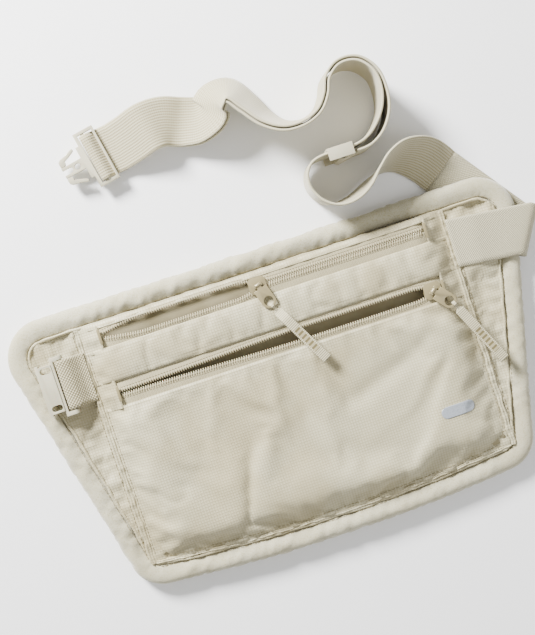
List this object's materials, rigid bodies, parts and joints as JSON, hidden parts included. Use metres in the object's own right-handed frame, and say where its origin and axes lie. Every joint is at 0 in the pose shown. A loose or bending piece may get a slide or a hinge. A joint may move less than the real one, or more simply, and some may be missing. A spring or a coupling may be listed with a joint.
{
  "type": "money belt",
  "caption": "Flat sand-coloured travel money belt lying open: soft rolled border, two zipped pockets with ribbon pulls, elastic waist strap with adjuster and side-release buckle.",
  "frame": {"origin": "middle of the back panel's face, which lies on the table", "axes": "+Z out of the front, +Y to the top edge, +X along the top edge towards the side that the strap is sewn to"},
  "size_m": [0.2811, 0.2414, 0.0294],
  "materials": {
    "border_cloth": "soft brushed knit over thin padding, sand",
    "shell_cloth": "light ripstop with a slight satin sheen, sand",
    "webbing": "woven and elastic webbing, sand",
    "zip_coil": "nylon coil, sand",
    "slider_metal": "sand enamel on die-cast metal",
    "buckle_plastic": "moulded acetal, sand",
    "mark_film": "retro-reflective grey film"
  },
  "bodies": {
    "belt": {"back_panel": "border_cloth", "back_lining": "shell_cloth", "edge_roll": "border_cloth", "left_wing": "shell_cloth", "right_wing": "shell_cloth", "left_seam": "shell_cloth", "right_seam": "shell_cloth", "bottom_seam": "shell_cloth", "top_strip": "shell_cloth", "mid_panel": "shell_cloth", "front_panel": "shell_cloth", "pocket_divider": "shell_cloth", "upper_zip_tape_rear": "webbing", "upper_zip_tape_front": "webbing", "upper_zip_coil_rear": "zip_coil", "upper_zip_coil_front": "zip_coil", "upper_zip_end_left": "shell_cloth", "upper_zip_end_right": "shell_cloth", "upper_zip_stops": "zip_coil", "lower_zip_tape_rear": "webbing", "lower_zip_tape_front": "webbing", "lower_zip_coil_rear": "zip_coil", "lower_zip_coil_front": "zip_coil", "lower_zip_end_left": "shell_cloth", "lower_zip_end_right": "shell_cloth", "lower_zip_stops": "zip_coil", "reflective_mark": "mark_film", "buckle_webbing_loop": "webbing", "strap_wing_run": "webbing", "strap_fold": "webbing", "strap_under_run": "webbing", "strap_free_run": "webbing", "strap_return_run": "webbing", "strap_wrap": "webbing"},
    "upper_slider": {"upper_slider": "slider_metal"},
    "upper_tab": {"upper_pull_tab": "slider_metal"},
    "upper_ribbon": {"upper_pull_ribbon": "webbing"},
    "lower_slider": {"lower_slider": "slider_metal"},
    "lower_tab": {"lower_pull_tab": "slider_metal"},
    "lower_ribbon": {"lower_pull_ribbon": "webbing"},
    "socket_half": {"female_buckle": "buckle_plastic"},
    "plug_half": {"male_buckle_frame": "buckle_plastic"},
    "upper_prong": {"male_prong_upper": "buckle_plastic"},
    "lower_prong": {"male_prong_lower": "buckle_plastic"},
    "strap_adjuster": {"tri_glide": "buckle_plastic", "strap_end_loop": "webbing"}
  },
  "joints": [
    {"name": "upper_zip_run", "type": "slide", "parent": "belt", "child": "upper_slider", "axis": [1, 0, 0], "range_m": [-0.077, 0.083]},
    {"name": "upper_tab_lift", "type": "hinge", "parent": "upper_slider", "child": "upper_tab", "pos_m": [-0.003, 0.059, 0.0149], "axis": [-0.9511, -0.309, 0], "range_deg": [0, 120]},
    {"name": "upper_ribbon_lift", "type": "hinge", "parent": "upper_tab", "child": "upper_ribbon", "pos_m": [0.00093, 0.04692, 0.0149], "axis": [-0.8829, -0.4695, 0], "range_deg": [0, 45]},
    {"name": "lower_zip_run", "type": "slide", "parent": "belt", "child": "lower_slider", "axis": [1, 0, 0], "range_m": [-0.16, 0]},
    {"name": "lower_tab_lift", "type": "hinge", "parent": "lower_slider", "child": "lower_tab", "pos_m": [0.08, 0.029, 0.0149], "axis": [-0.766, -0.6428, 0], "range_deg": [0, 120]},
    {"name": "lower_ribbon_lift", "type": "hinge", "parent": "lower_tab", "child": "lower_ribbon", "pos_m": [0.08816, 0.01927, 0.0149], "axis": [-0.9063, -0.4226, 0], "range_deg": [0, 45]},
    {"name": "socket_half_swing", "type": "hinge", "parent": "belt", "child": "socket_half", "pos_m": [-0.109, 0.0415, 0.0115], "axis": [0, 1, 0], "range_deg": [0, 85]},
    {"name": "plug_half_swing", "type": "hinge", "parent": "belt", "child": "plug_half", "pos_m": [-0.0605, 0.1454, 0.0046], "axis": [0.1908, -0.9816, 0], "range_deg": [0, 70]},
    {"name": "upper_prong_flex", "type": "hinge", "parent": "plug_half", "child": "upper_prong", "pos_m": [-0.07687, 0.1468, 0.0046], "axis": [0, 0, -1], "range_deg": [0, 10], "stiffness_Nm_per_rad": 0.05},
    {"name": "lower_prong_flex", "type": "hinge", "parent": "plug_half", "child": "lower_prong", "pos_m": [-0.07515, 0.13797, 0.0046], "axis": [0, 0, 1], "range_deg": [0, 10], "stiffness_Nm_per_rad": 0.05},
    {"name": "strap_adjust", "type": "slide", "parent": "belt", "child": "strap_adjuster", "axis": [1, 0, 0], "range_m": [-0.005, 0]}
  ]
}
